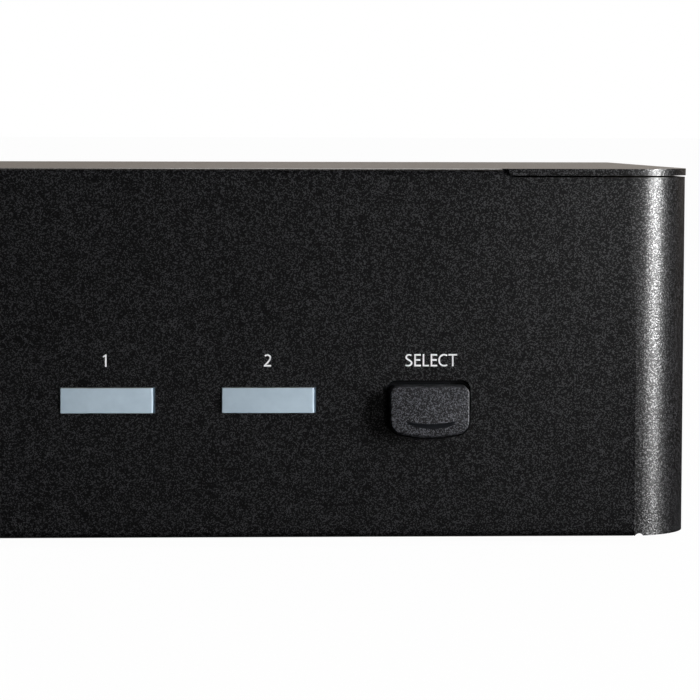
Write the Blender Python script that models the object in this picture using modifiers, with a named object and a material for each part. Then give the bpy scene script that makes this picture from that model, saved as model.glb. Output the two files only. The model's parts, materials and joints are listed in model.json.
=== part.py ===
"""Two-computer, dual-monitor KVM switch: a folded sheet-metal box with two indicator windows and a
select button on its front, sockets on two boards at its back, and everything between them inside.

Metres, +Z up. The front faces -Y, +X is to the right as seen from the front, and the feet stand on
z = 0. The origin is at the middle of the overall box, at its foot.
"""

import math

import bmesh
import bpy
from mathutils import Matrix, Vector

MM = 0.001

# Case
CASE_WIDTH = 220 * MM
CASE_DEPTH = 115 * MM
CASE_HEIGHT = 65 * MM
SHEET = 1.2 * MM
CORNER_RADIUS = 11.6 * MM
BEND_RADIUS = 1.5 * MM
LID_OVERHANG = 0.15 * MM
LID_SLIT = 0.3 * MM
LID_SLIT_REACH = 34 * MM
FRONT_FLANGE_DEPTH = 12 * MM
FRONT_FLANGE_END = 10.1 * MM
RELIEF_WIDTH = 2 * MM
RELIEF_HEIGHT = 0.5 * MM
TRAY_FLANGE_HEIGHT = 20 * MM
TRAY_RETURN = 6 * MM
GAP = 0.3 * MM

# Feet
FOOT_RADIUS = 6 * MM
FOOT_STANDOFF = 2 * MM
FOOT_INSET = 24 * MM
FOOT_CHAMFER = 0.9 * MM

# Side vents
VENT_COUNT = 9
VENT_WIDTH = 2.4 * MM
VENT_LENGTH = 22 * MM
VENT_PITCH = 6 * MM
VENT_HEIGHT = 40 * MM

# Front controls, measured from the case's right side and from its bottom edge
CONTROL_PITCH = 28.3 * MM
BUTTON_FROM_RIGHT = 46.75 * MM
WINDOW_HEIGHT = 24.3 * MM
WINDOW_SIZE = (16.1 * MM, 4.4 * MM)
WINDOW_PROUD = 0.3 * MM
WINDOW_LIP = 1.5 * MM
BUTTON_WIDTH = 13.7 * MM
BUTTON_TOP = 27.2 * MM
BUTTON_DROP = 9 * MM
BUTTON_BELLY = 0.7 * MM
BUTTON_CORNERS = (1.1 * MM, 2.2 * MM)
BUTTON_CLEARANCE = 0.6 * MM
BUTTON_PROUD = 3 * MM
BUTTON_EDGE = 0.4 * MM
BUTTON_LIP = 2 * MM
BUTTON_TRAVEL = 0.6 * MM
LIP_THICKNESS = 1.2 * MM

# Front board and what is on it
BOARD = 1.6 * MM
FRONT_BOARD_SETBACK = 8.5 * MM
FRONT_BOARD_HEIGHT = 20 * MM
FRONT_BOARD_MARGIN = 11 * MM
LED_SIZE = (4 * MM, 1.7 * MM, 3 * MM)
KEY_SWITCH_SIDE = 6 * MM
KEY_SWITCH_DEPTH = 3.5 * MM
PLUNGER_RADIUS = 1.6 * MM
PLUNGER_PROUD = 1 * MM
PLUNGER_DEPTH = 2.4 * MM
HEADER_SIZE = (14 * MM, 5 * MM, 6 * MM)
RIBBON_WIDTH = 12 * MM
RIBBON_THICKNESS = 1 * MM
RIBBON_BEND = 4 * MM

# Boards in the box
BOARD_SIDE_MARGIN = 8 * MM
BOARD_BACK_MARGIN = 0.8 * MM
MAIN_BOARD_FRONT = 26 * MM
VIDEO_BOARD_FRONT = 29 * MM
STANDOFF_LENGTH = 6 * MM
STANDOFF_RADIUS = 3 * MM
STANDOFF_BASE = 1.2 * MM
BOARD_CLEARANCE = 3.6 * MM
PILLAR_INSET = 16 * MM
PILLAR_FRONT = 35 * MM
PILLAR_BACK = 24 * MM

# Fasteners
THREAD_RADIUS = 1.25 * MM
HEAD_RADIUS = 2.75 * MM
HEAD_HEIGHT = 1.6 * MM
HEAD_FLAT = 1.5 * MM
HEAD_SHOULDER = (2.5 * MM, 0.95 * MM)
SCREW_LENGTH = 5 * MM
SIDE_SCREW_HEIGHT = 10 * MM
SIDE_SCREW_FRONT = 36 * MM
SIDE_SCREW_BACK = 15 * MM

# Rear sockets
REAR_MARGIN = 20 * MM
SOCKET_PROUD = 0.6 * MM
SOCKET_DEPTH = 14 * MM
SOCKET_HOLLOW = 10 * MM
TONGUE_SETBACK = 1 * MM
TONGUE_ROOT = 1 * MM
VIDEO_SHELL = (18 * MM, 6.6 * MM)
VIDEO_MOUTH = (16.2 * MM, 4.9 * MM)
VIDEO_CHAMFER = 2 * MM
VIDEO_TONGUE = (12.4 * MM, 1.4 * MM)
USB_B_SHELL = (12 * MM, 11 * MM)
USB_B_MOUTH = (8.5 * MM, 7.8 * MM)
USB_B_CHAMFER = 1.7 * MM
USB_B_TONGUE = (5.4 * MM, 3.2 * MM)
USB_A_SHELL = (14.4 * MM, 15.8 * MM)
USB_A_MOUTH = (12.6 * MM, 5.2 * MM)
USB_A_TONGUE = (11.1 * MM, 1.9 * MM)
USB_A_PITCH = 7.4 * MM
AUDIO_BODY = (11 * MM, 22 * MM)
AUDIO_PROUD = 1 * MM
AUDIO_COLLAR = 3.6 * MM
AUDIO_BORE = 1.8 * MM
AUDIO_PITCH = 11 * MM
POWER_BODY = (9 * MM, 11 * MM)
POWER_BORE = 3.2 * MM
POWER_PIN = 1 * MM

# Components on the boards
VIDEO_CHIP = (14 * MM, 14 * MM, 1.6 * MM)
HEATSINK = (22 * MM, 22 * MM, 10 * MM)
HEATSINK_BASE = 2.5 * MM
FIN_COUNT = 6
HUB_CHIP = (12 * MM, 12 * MM, 1.4 * MM)
CHIP_SPREAD = 45 * MM
CAPACITOR_RADIUS = 5 * MM
CAPACITOR_HEIGHT = 16 * MM
CAPACITOR_INSET = 35 * MM
LINK_SIZE = (50 * MM, 5 * MM)

# Positions that follow from the sizes above
FRONT_Y = -(CASE_DEPTH + AUDIO_PROUD - BUTTON_PROUD) / 2
BACK_Y = FRONT_Y + CASE_DEPTH
SIDE_X = CASE_WIDTH / 2
BOTTOM_Z = FOOT_STANDOFF
TOP_Z = BOTTOM_Z + CASE_HEIGHT
CEILING_Z = TOP_Z - SHEET
TRAY_Z = BOTTOM_Z + SHEET + GAP
FLOOR_Z = TRAY_Z + SHEET
WALL_BACK_Y = FRONT_Y + SHEET
PANEL_Y = BACK_Y - SHEET
BUTTON_X = SIDE_X - BUTTON_FROM_RIGHT
WINDOW_XS = (BUTTON_X - 2 * CONTROL_PITCH, BUTTON_X - CONTROL_PITCH)
WINDOW_Z = BOTTOM_Z + WINDOW_HEIGHT
FRONT_BOARD_Y = FRONT_Y + FRONT_BOARD_SETBACK
FRONT_SCREW_Z = WINDOW_Z + WINDOW_SIZE[1] / 2 + WINDOW_LIP + GAP + STANDOFF_RADIUS
MAIN_Z = FLOOR_Z + STANDOFF_LENGTH + GAP
MAIN_TOP_Z = MAIN_Z + BOARD
VIDEO_Z = MAIN_TOP_Z + GAP + AUDIO_BODY[1] + BOARD_CLEARANCE + GAP
VIDEO_TOP_Z = VIDEO_Z + BOARD
BOARD_X = SIDE_X - BOARD_SIDE_MARGIN
BOARD_BACK_Y = PANEL_Y - BOARD_BACK_MARGIN
PILLARS = [
    (x, y)
    for x in (PILLAR_INSET - SIDE_X, SIDE_X - PILLAR_INSET)
    for y in (FRONT_Y + PILLAR_FRONT, BACK_Y - PILLAR_BACK)
]
OUT = 5 * MM  # how far a cutter runs past what it cuts
THROUGH = 1 * MM  # the same, where another piece stands close behind
TOUCHING = 0.001 * MM  # points nearer than this are one

TURNS = {"X": (math.pi / 2, 0, math.pi / 2), "Y": (math.pi / 2, 0, 0), "Z": (0, 0, 0)}


def clear_scene():
    for obj in list(bpy.data.objects):
        bpy.data.objects.remove(obj, do_unlink=True)


def new_collection(name):
    collection = bpy.data.collections.new(name)
    bpy.context.scene.collection.children.link(collection)
    return collection


def surface(name, color, roughness, metallic=0.0, alpha=1.0):
    material = bpy.data.materials.new(name)
    material.use_nodes = True
    shader = material.node_tree.nodes["Principled BSDF"]
    shader.inputs["Base Color"].default_value = (*color, 1)
    shader.inputs["Roughness"].default_value = roughness
    shader.inputs["Metallic"].default_value = metallic
    shader.inputs["Alpha"].default_value = alpha
    material.diffuse_color = (*color, alpha)
    return material


clear_scene()
PARTS = new_collection("kvm_switch")
HELPERS = new_collection("cutters")

CASE_PAINT = surface("case_paint", (0.012, 0.012, 0.013), 0.55, 0.2)
FOOT_RUBBER = surface("foot_rubber", (0.02, 0.02, 0.02), 0.85)
SCREW_STEEL = surface("screw_steel", (0.05, 0.05, 0.05), 0.35, 1.0)
SPACER_BRASS = surface("spacer_brass", (0.75, 0.55, 0.25), 0.35, 1.0)
BUTTON_PLASTIC = surface("button_plastic", (0.05, 0.05, 0.053), 0.5)
WINDOW_PLASTIC = surface("window_plastic", (0.42, 0.5, 0.55), 0.35)
CIRCUIT_BOARD = surface("circuit_board", (0.02, 0.16, 0.06), 0.4)
LED_EPOXY = surface("led_epoxy", (0.8, 0.82, 0.78), 0.25)
BLACK_PLASTIC = surface("black_plastic", (0.02, 0.02, 0.02), 0.5)
RIBBON_GREY = surface("ribbon_grey", (0.45, 0.46, 0.48), 0.5)
SOCKET_STEEL = surface("socket_steel", (0.62, 0.62, 0.62), 0.3, 1.0)
CHIP_EPOXY = surface("chip_epoxy", (0.03, 0.03, 0.032), 0.55)
SINK_ALUMINIUM = surface("sink_aluminium", (0.55, 0.56, 0.58), 0.35, 1.0)
CAN_SLEEVE = surface("can_sleeve", (0.05, 0.06, 0.12), 0.3)


def add(name, mesh, material=None):
    """An object for this mesh: a part of the switch with its material, or a helper that shapes a part."""
    obj = bpy.data.objects.new(name, mesh)
    if material:
        mesh.materials.clear()
        mesh.materials.append(material)
        PARTS.objects.link(obj)
    else:
        HELPERS.objects.link(obj)
        obj.hide_render = True
        obj.display_type = "WIRE"
    return obj


def mesh_of(form, name):
    mesh = bpy.data.meshes.new(name)
    form.to_mesh(mesh)
    form.free()
    return mesh


def blocks(name, boxes, material=None):
    """One or more boxes, each given by two opposite corners, placed about the middle of the first."""
    origin = sum((Vector(corner) for corner in boxes[0]), Vector()) / 2
    form = bmesh.new()
    for low, high in boxes:
        low, high = Vector(low), Vector(high)
        place = Matrix.Translation((low + high) / 2 - origin) @ Matrix.Diagonal((*(high - low), 1))
        bmesh.ops.create_cube(form, size=1, matrix=place)
    obj = add(name, mesh_of(form, name), material)
    obj.location = origin
    return obj


def rods(name, centres, radius, length, axis, material=None, sides=20):
    """Round bars of one radius along an axis, each centred on its point."""
    form = bmesh.new()
    turn = Matrix.Rotation(math.pi / 2, 4, {"X": "Y", "Y": "X", "Z": "Z"}[axis])
    for centre in centres:
        place = Matrix.Translation(Vector(centre) - Vector(centres[0])) @ turn
        bmesh.ops.create_cone(
            form,
            cap_ends=True,
            segments=sides,
            radius1=radius,
            radius2=radius,
            depth=length,
            matrix=place,
        )
    obj = add(name, mesh_of(form, name), material)
    obj.location = centres[0]
    return obj


def turned(name, profile, foot, axis="Z", flip=False, material=None, sides=20):
    """A profile of (radius, height) points, down its outer side, spun round an axis through the foot."""
    form = bmesh.new()
    points = [form.verts.new((radius, 0, height)) for radius, height in profile]
    for first, second in zip(points, points[1:]):
        form.edges.new((first, second))
    obj = add(name, mesh_of(form, name), material)
    spin = obj.modifiers.new("spin", "SCREW")
    spin.steps = spin.render_steps = sides
    spin.use_merge_vertices = True
    spin.merge_threshold = TOUCHING
    obj.location = foot
    if axis == "X":
        obj.rotation_euler.y = -math.pi / 2 if flip else math.pi / 2
    if axis == "Y":
        obj.rotation_euler.x = math.pi / 2 if flip else -math.pi / 2
    return obj


def rounded(corners, steps=6):
    """The points of a closed outline whose corners, each (x, y, radius), are rounded by arcs."""
    points = []
    for index, (x, y, radius) in enumerate(corners):
        corner = Vector((x, y))
        if not radius:
            points.append(corner)
            continue
        before = (Vector(corners[index - 1][:2]) - corner).normalized()
        after = (Vector(corners[(index + 1) % len(corners)][:2]) - corner).normalized()
        half = before.angle(after) / 2
        centre = corner + (before + after).normalized() * (radius / math.sin(half))
        first = corner + before * (radius / math.tan(half)) - centre
        last = corner + after * (radius / math.tan(half)) - centre
        start = math.atan2(first.y, first.x)
        sweep = (math.atan2(last.y, last.x) - start + math.pi) % math.tau - math.pi
        for step in range(steps + 1):
            angle = start + sweep * step / steps
            points.append(centre + Vector((math.cos(angle), math.sin(angle))) * radius)
    return [point for i, point in enumerate(points) if (point - points[i - 1]).length > TOUCHING]


def rectangle(centre, size):
    (x, y), (width, height) = centre, (size[0] / 2, size[1] / 2)
    return [Vector((x + i * width, y + j * height)) for i, j in ((-1, -1), (1, -1), (1, 1), (-1, 1))]


def circle(centre, radius, sides=16):
    turns = (math.tau * i / sides for i in range(sides))
    return [Vector((centre[0] + math.cos(a) * radius, centre[1] + math.sin(a) * radius)) for a in turns]


def extruded(name, outline, low, high, axis, material=None, holes=()):
    """A flat outline, with holes, filled and drawn out along an axis from low to high.

    The outline's two coordinates are world ones: XY along Z, XZ along Y and YZ along X.
    """
    curve = bpy.data.curves.new(name, "CURVE")
    curve.dimensions = "2D"
    curve.fill_mode = "BOTH"
    curve.extrude = (high - low) / 2
    middle = sum(outline, Vector((0, 0))) / len(outline)
    for points in (outline, *holes):
        spline = curve.splines.new("POLY")
        spline.points.add(len(points) - 1)
        for target, point in zip(spline.points, points):
            target.co = (*(point - middle), 0, 1)
        spline.use_cyclic_u = True
    drawn = bpy.data.objects.new(name + "_curve", curve)
    HELPERS.objects.link(drawn)
    evaluated = drawn.evaluated_get(bpy.context.evaluated_depsgraph_get())
    mesh = bpy.data.meshes.new_from_object(evaluated)
    bpy.data.objects.remove(drawn)
    form = bmesh.new()
    form.from_mesh(mesh)
    bmesh.ops.remove_doubles(form, verts=form.verts, dist=TOUCHING)
    bmesh.ops.recalc_face_normals(form, faces=form.faces)
    form.to_mesh(mesh)
    form.free()
    obj = add(name, mesh, material)
    along = (low + high) / 2
    obj.location = {
        "X": (along, middle.x, middle.y),
        "Y": (middle.x, along, middle.y),
        "Z": (middle.x, middle.y, along),
    }[axis]
    obj.rotation_euler = TURNS[axis]
    return obj


def shape(target, operation, *helpers):
    for helper in helpers:
        boolean = target.modifiers.new(helper.name, "BOOLEAN")
        boolean.operation = operation
        boolean.object = helper
    return target


def join(target, *helpers):
    return shape(target, "UNION", *helpers)


def cut(target, *helpers):
    return shape(target, "DIFFERENCE", *helpers)


def smooth(obj):
    obj.data.shade_smooth()
    obj.data.set_sharp_from_angle(angle=math.radians(40))
    return obj


def plan(inset, back):
    """The case seen from above, drawn in by the inset, with its two front corners rounded."""
    x, y, radius = SIDE_X - inset, FRONT_Y + inset, CORNER_RADIUS - inset
    return rounded([(-x, y, radius), (x, y, radius), (x, back, 0), (-x, back, 0)], steps=8)


def bend_waste(name, reach, edge_z, up):
    """What a bend's outer radius takes off the front's upper (up = 1) or lower (up = -1) edge."""
    inner = edge_z - up * BEND_RADIUS
    outline = rounded(
        [
            (FRONT_Y - OUT, edge_z + up * OUT, 0),
            (FRONT_Y - OUT, inner, 0),
            (FRONT_Y, inner, 0),
            (FRONT_Y, edge_z, BEND_RADIUS),
            (FRONT_Y + BEND_RADIUS, edge_z, 0),
            (FRONT_Y + BEND_RADIUS, edge_z + up * OUT, 0),
        ]
    )
    return extruded(name, outline, -reach, reach, "X")


def button_outline(grow):
    """The cap from the front: square shoulders, full lower corners and a belly along its lower edge."""
    half, top = BUTTON_WIDTH / 2, BOTTOM_Z + BUTTON_TOP
    low = top - BUTTON_DROP
    shoulder, heel = BUTTON_CORNERS
    corners = [
        (-half - grow, top + grow, shoulder + grow),
        (-half - grow, low + BUTTON_BELLY - grow, heel + grow),
        (0, low - BUTTON_BELLY - grow, (half - heel) * half / (2 * BUTTON_BELLY)),
        (half + grow, low + BUTTON_BELLY - grow, heel + grow),
        (half + grow, top + grow, shoulder + grow),
    ]
    return [Vector((BUTTON_X, 0)) + point for point in rounded(corners, steps=5)]


def cover():
    """Top, front and sides, folded from one sheet. Slits free the top from the corners and sides."""
    body = extruded("cover", plan(0, BACK_Y), BOTTOM_Z, TOP_Z - SHEET / 2, "Z", CASE_PAINT)
    lid = extruded("lid", plan(-LID_OVERHANG, BACK_Y), CEILING_Z, TOP_Z, "Z")
    hollow = extruded("hollow", plan(SHEET, BACK_Y + OUT), BOTTOM_Z - OUT, CEILING_Z, "Z")
    flange_x = SIDE_X - FRONT_FLANGE_END
    flange = blocks(
        "front_flange",
        [
            (
                (-flange_x, FRONT_Y + SHEET / 2, BOTTOM_Z),
                (flange_x, FRONT_Y + FRONT_FLANGE_DEPTH, BOTTOM_Z + SHEET),
            )
        ],
    )
    stud_ends = (FRONT_Y + SHEET / 2, FRONT_BOARD_Y - GAP)
    stud_points = [(x, sum(stud_ends) / 2, FRONT_SCREW_Z) for x in WINDOW_XS]
    studs = rods("studs", stud_points, STANDOFF_RADIUS, stud_ends[1] - stud_ends[0], "Y")
    stud_mouths = [(x, stud_ends[1], FRONT_SCREW_Z) for x in WINDOW_XS]
    bores = rods("stud_bores", stud_mouths, THREAD_RADIUS + GAP, 2 * (stud_ends[1] - WALL_BACK_Y), "Y")
    slit_x = SIDE_X - LID_SLIT_REACH
    slit_low = CEILING_Z - LID_SLIT
    slits = blocks(
        "lid_slits",
        [
            ((slit_x, FRONT_Y - OUT, slit_low), (SIDE_X + OUT, BACK_Y + OUT, CEILING_Z)),
            ((-SIDE_X - OUT, FRONT_Y - OUT, slit_low), (-slit_x, BACK_Y + OUT, CEILING_Z)),
        ],
    )
    relief_x = flange_x + RELIEF_WIDTH / 2
    reliefs = blocks(
        "corner_reliefs",
        [
            (
                (side * relief_x - RELIEF_WIDTH / 2, FRONT_Y - OUT, BOTTOM_Z - OUT),
                (side * relief_x + RELIEF_WIDTH / 2, WALL_BACK_Y + 2 * SHEET, BOTTOM_Z + RELIEF_HEIGHT),
            )
            for side in (-1, 1)
        ],
    )
    width, height = (size / 2 + GAP for size in WINDOW_SIZE)
    windows = blocks(
        "window_holes",
        [
            (
                (x - width, FRONT_Y - OUT, WINDOW_Z - height),
                (x + width, WALL_BACK_Y + THROUGH, WINDOW_Z + height),
            )
            for x in WINDOW_XS
        ],
    )
    button_hole = extruded(
        "button_hole", button_outline(BUTTON_CLEARANCE), FRONT_Y - OUT, WALL_BACK_Y + THROUGH, "Y"
    )
    middle = (FRONT_Y + BACK_Y) / 2
    vent_ys = [middle + (i - (VENT_COUNT - 1) / 2) * VENT_PITCH for i in range(VENT_COUNT)]
    vent_z = BOTTOM_Z + VENT_HEIGHT
    vents = blocks(
        "side_vents",
        [
            (
                (-SIDE_X - OUT, y - VENT_WIDTH / 2, vent_z - VENT_LENGTH / 2),
                (SIDE_X + OUT, y + VENT_WIDTH / 2, vent_z + VENT_LENGTH / 2),
            )
            for y in vent_ys
        ],
    )
    join(body, lid)
    cut(body, hollow)
    join(body, flange, studs)
    cut(body, bores, slits, reliefs, windows, button_hole, vents, side_screw_holes("cover_screw_holes"))
    upper, lower = ("upper_bend", slit_x, TOP_Z, 1), ("lower_bend", flange_x, BOTTOM_Z, -1)
    cut(body, bend_waste(*upper), bend_waste(*lower))
    return body


def side_screw_points():
    ys = (FRONT_Y + SIDE_SCREW_FRONT, BACK_Y - SIDE_SCREW_BACK)
    return [(side, y, BOTTOM_Z + SIDE_SCREW_HEIGHT) for side in (-1, 1) for y in ys]


def side_screw_holes(name):
    centres = [(0, y, z) for side, y, z in side_screw_points() if side > 0]
    return rods(name, centres, THREAD_RADIUS + GAP, CASE_WIDTH + 2 * OUT, "X")


def base_tray():
    """Floor, back panel and low side flanges, folded from one sheet, inside the cover."""
    inset = SHEET + GAP
    tray = extruded("base_tray", plan(inset, BACK_Y), TRAY_Z, CEILING_Z - GAP, "Z", CASE_PAINT)
    hollow = extruded("tray_hollow", plan(inset + SHEET, PANEL_Y), FLOOR_Z, TOP_Z + OUT, "Z")
    flange_z = TRAY_Z + TRAY_FLANGE_HEIGHT
    trim = blocks(
        "tray_trim",
        [
            (
                (-SIDE_X - OUT, FRONT_Y - OUT, flange_z),
                (SIDE_X + OUT, PANEL_Y - TRAY_RETURN, TOP_Z + OUT),
            )
        ],
    )
    front_trim = blocks(
        "tray_front_trim",
        [
            (
                (-SIDE_X - OUT, FRONT_Y - OUT, FLOOR_Z),
                (SIDE_X + OUT, FRONT_Y + inset + CORNER_RADIUS, flange_z + OUT),
            )
        ],
    )
    cut(tray, hollow, trim, front_trim, side_screw_holes("tray_screw_holes"))
    return tray


def feet():
    top = TRAY_Z - GAP
    profile = [
        (0, top),
        (FOOT_RADIUS, top),
        (FOOT_RADIUS, FOOT_CHAMFER),
        (FOOT_RADIUS - FOOT_CHAMFER, 0),
        (0, 0),
    ]
    places = [
        (x, y)
        for x in (FOOT_INSET - SIDE_X, SIDE_X - FOOT_INSET)
        for y in (FRONT_Y + FOOT_INSET, BACK_Y - FOOT_INSET)
    ]
    for number, (x, y) in enumerate(places, 1):
        smooth(turned(f"foot_{number}", profile, (x, y, 0), material=FOOT_RUBBER, sides=24))


def screw(name, seat, axis, flip=False):
    """A round-headed screw whose head sits on the seat and stands out along the axis, or against it."""
    profile = [
        (0, HEAD_HEIGHT),
        (HEAD_FLAT, HEAD_HEIGHT),
        HEAD_SHOULDER,
        (HEAD_RADIUS, 0),
        (THREAD_RADIUS, 0),
        (THREAD_RADIUS, -SCREW_LENGTH),
        (0, -SCREW_LENGTH),
    ]
    return smooth(turned(name, profile, seat, axis, flip, SCREW_STEEL, sides=16))


def cover_screws():
    for number, (side, y, z) in enumerate(side_screw_points(), 1):
        seat = (side * (SIDE_X + LID_OVERHANG + GAP), y, z)
        screw(f"cover_screw_{number}", seat, "X", flip=side < 0)


def windows():
    """Two light guides: a face flush with the front, a lip behind the wall, and a stem to the LED."""
    lip_y = WALL_BACK_Y + GAP
    for number, x in enumerate(WINDOW_XS, 1):
        width, height = WINDOW_SIZE[0] / 2, WINDOW_SIZE[1] / 2
        face_y = FRONT_Y - WINDOW_PROUD
        face = blocks(
            f"indicator_window_{number}",
            [((x - width, face_y, WINDOW_Z - height), (x + width, lip_y + GAP, WINDOW_Z + height))],
            WINDOW_PLASTIC,
        )
        wide, tall = width + WINDOW_LIP, height + WINDOW_LIP
        lip = blocks(
            f"window_lip_{number}",
            [((x - wide, lip_y, WINDOW_Z - tall), (x + wide, lip_y + LIP_THICKNESS, WINDOW_Z + tall))],
        )
        led_y = FRONT_BOARD_Y - GAP - LED_SIZE[1]
        stem_width, stem_height = LED_SIZE[0] / 2, LED_SIZE[2] / 2
        stem = blocks(
            f"window_stem_{number}",
            [
                (
                    (x - stem_width, lip_y + LIP_THICKNESS / 2, WINDOW_Z - stem_height),
                    (x + stem_width, led_y - GAP, WINDOW_Z + stem_height),
                )
            ],
        )
        join(face, lip, stem)
        blocks(
            f"led_{number}",
            [
                (
                    (x - stem_width, led_y, WINDOW_Z - stem_height),
                    (x + stem_width, led_y + LED_SIZE[1], WINDOW_Z + stem_height),
                )
            ],
            LED_EPOXY,
        )


def select_button():
    """The cap with its lip behind the wall and its post, and the key switch that the post presses."""
    lip_y = WALL_BACK_Y + GAP
    switch_y = FRONT_BOARD_Y - GAP - KEY_SWITCH_DEPTH
    tip_y = switch_y - PLUNGER_PROUD
    centre_z = BOTTOM_Z + BUTTON_TOP - BUTTON_DROP / 2
    face_y, root_y = FRONT_Y - BUTTON_PROUD, lip_y + LIP_THICKNESS / 2
    cap = extruded("select_button", button_outline(0), face_y, root_y, "Y", BUTTON_PLASTIC)
    edge = cap.modifiers.new("edge", "BEVEL")
    edge.width = BUTTON_EDGE
    edge.segments = 2
    edge.limit_method = "ANGLE"
    edge.angle_limit = math.radians(60)
    lip_outline = button_outline(BUTTON_CLEARANCE + BUTTON_LIP)
    lip = extruded("button_lip", lip_outline, lip_y, lip_y + LIP_THICKNESS, "Y")
    post_y = tip_y - GAP
    post_middle = (BUTTON_X, (root_y + post_y) / 2, centre_z)
    post = rods("button_post", [post_middle], PLUNGER_RADIUS, post_y - root_y, "Y", sides=16)
    join(cap, lip, post)

    half = KEY_SWITCH_SIDE / 2
    body = blocks(
        "key_switch_body",
        [
            (
                (BUTTON_X - half, switch_y, centre_z - half),
                (BUTTON_X + half, switch_y + KEY_SWITCH_DEPTH, centre_z + half),
            )
        ],
        BLACK_PLASTIC,
    )
    well_depth = PLUNGER_DEPTH - PLUNGER_PROUD + BUTTON_TRAVEL + GAP
    mouth = [(BUTTON_X, switch_y, centre_z)]
    cut(body, rods("plunger_well", mouth, PLUNGER_RADIUS + GAP, 2 * well_depth, "Y", sides=16))
    middle = (BUTTON_X, tip_y + PLUNGER_DEPTH / 2, centre_z)
    smooth(rods("key_switch_plunger", [middle], PLUNGER_RADIUS, PLUNGER_DEPTH, "Y", BUTTON_PLASTIC, 16))


def front_board():
    """The upright board behind the front wall, its two screws, and its ribbon to the main board."""
    low_x, high_x = WINDOW_XS[0] - FRONT_BOARD_MARGIN, BUTTON_X + FRONT_BOARD_MARGIN
    outline = rectangle(((low_x + high_x) / 2, WINDOW_Z), (high_x - low_x, FRONT_BOARD_HEIGHT))
    holes = [circle((x, FRONT_SCREW_Z), THREAD_RADIUS + GAP) for x in WINDOW_XS]
    back_y = FRONT_BOARD_Y + BOARD
    extruded("front_board", outline, FRONT_BOARD_Y, back_y, "Y", CIRCUIT_BOARD, holes)
    for number, x in enumerate(WINDOW_XS, 1):
        screw(f"front_board_screw_{number}", (x, back_y + GAP, FRONT_SCREW_Z), "Y")

    ribbon_x = WINDOW_XS[1]
    width, depth, height = HEADER_SIZE[0] / 2, HEADER_SIZE[1], HEADER_SIZE[2]
    header_y = back_y + GAP
    blocks(
        "front_board_header",
        [
            (
                (ribbon_x - width, header_y, WINDOW_Z - depth / 2),
                (ribbon_x + width, header_y + height, WINDOW_Z + depth / 2),
            )
        ],
        BLACK_PLASTIC,
    )
    drop_y = FRONT_Y + MAIN_BOARD_FRONT + depth
    header_z = MAIN_TOP_Z + GAP
    blocks(
        "main_board_header",
        [
            (
                (ribbon_x - width, drop_y - depth / 2, header_z),
                (ribbon_x + width, drop_y + depth / 2, header_z + height),
            )
        ],
        BLACK_PLASTIC,
    )
    half = RIBBON_THICKNESS / 2
    start_y, end_z = header_y + height + GAP, header_z + height + GAP
    route = rounded(
        [
            (start_y, WINDOW_Z + half, 0),
            (drop_y + half, WINDOW_Z + half, RIBBON_BEND + half),
            (drop_y + half, end_z, 0),
            (drop_y - half, end_z, 0),
            (drop_y - half, WINDOW_Z - half, RIBBON_BEND - half),
            (start_y, WINDOW_Z - half, 0),
        ]
    )
    edges = (ribbon_x - RIBBON_WIDTH / 2, ribbon_x + RIBBON_WIDTH / 2)
    extruded("ribbon_cable", route, *edges, "X", RIBBON_GREY)


def boards():
    """The main board on standoffs, the video board over it on spacers, and the screws that hold them."""
    hole = THREAD_RADIUS + GAP
    for name, front, low in (
        ("main_board", MAIN_BOARD_FRONT, MAIN_Z),
        ("video_board", VIDEO_BOARD_FRONT, VIDEO_Z),
    ):
        middle = (0, (FRONT_Y + front + BOARD_BACK_Y) / 2)
        outline = rectangle(middle, (2 * BOARD_X, BOARD_BACK_Y - FRONT_Y - front))
        holes = [circle(pillar, hole) for pillar in PILLARS]
        extruded(name, outline, low, low + BOARD, "Z", CIRCUIT_BOARD, holes)

    foot_z = FLOOR_Z + GAP
    standoff = MAIN_Z - GAP - foot_z
    spacer_z = MAIN_TOP_Z + GAP
    spacer = VIDEO_Z - GAP - spacer_z
    stud = BOARD + 2 * GAP + standoff / 2
    bore = spacer - SCREW_LENGTH - GAP
    for number, (x, y) in enumerate(PILLARS, 1):
        bored = [(0, STANDOFF_BASE), (hole, STANDOFF_BASE), (hole, standoff)]
        walls = [(STANDOFF_RADIUS, standoff), (STANDOFF_RADIUS, 0), (0, 0)]
        turned(f"standoff_{number}", bored + walls, (x, y, foot_z), material=SPACER_BRASS, sides=6)
        bored = [(0, bore), (hole, bore), (hole, spacer)]
        walls = [(STANDOFF_RADIUS, spacer), (STANDOFF_RADIUS, 0)]
        stem = [(THREAD_RADIUS, 0), (THREAD_RADIUS, -stud), (0, -stud)]
        profile = bored + walls + stem
        turned(f"spacer_{number}", profile, (x, y, spacer_z), material=SPACER_BRASS, sides=6)
        screw(f"video_board_screw_{number}", (x, y, VIDEO_TOP_Z + GAP), "Z")


def across(count):
    """Evenly spaced places across the back panel, from the side of the first computer's sockets."""
    reach = SIDE_X - REAR_MARGIN
    return [reach - 2 * reach * i / (count - 1) for i in range(count)]


def chamfered(centre, size, chamfer, corners):
    """A rectangle with the named corners cut off: (side, height) signs of each corner."""
    (x, z), (width, height) = centre, (size[0] / 2, size[1] / 2)
    points = []
    for i, j in ((-1, -1), (1, -1), (1, 1), (-1, 1)):
        tip = Vector((x + i * width, z + j * height))
        if (i, j) not in corners:
            points.append(tip)
            continue
        legs = [tip - Vector((i * chamfer, 0)), tip - Vector((0, j * chamfer))]
        points += legs[::-1] if i == j else legs
    return points


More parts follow.
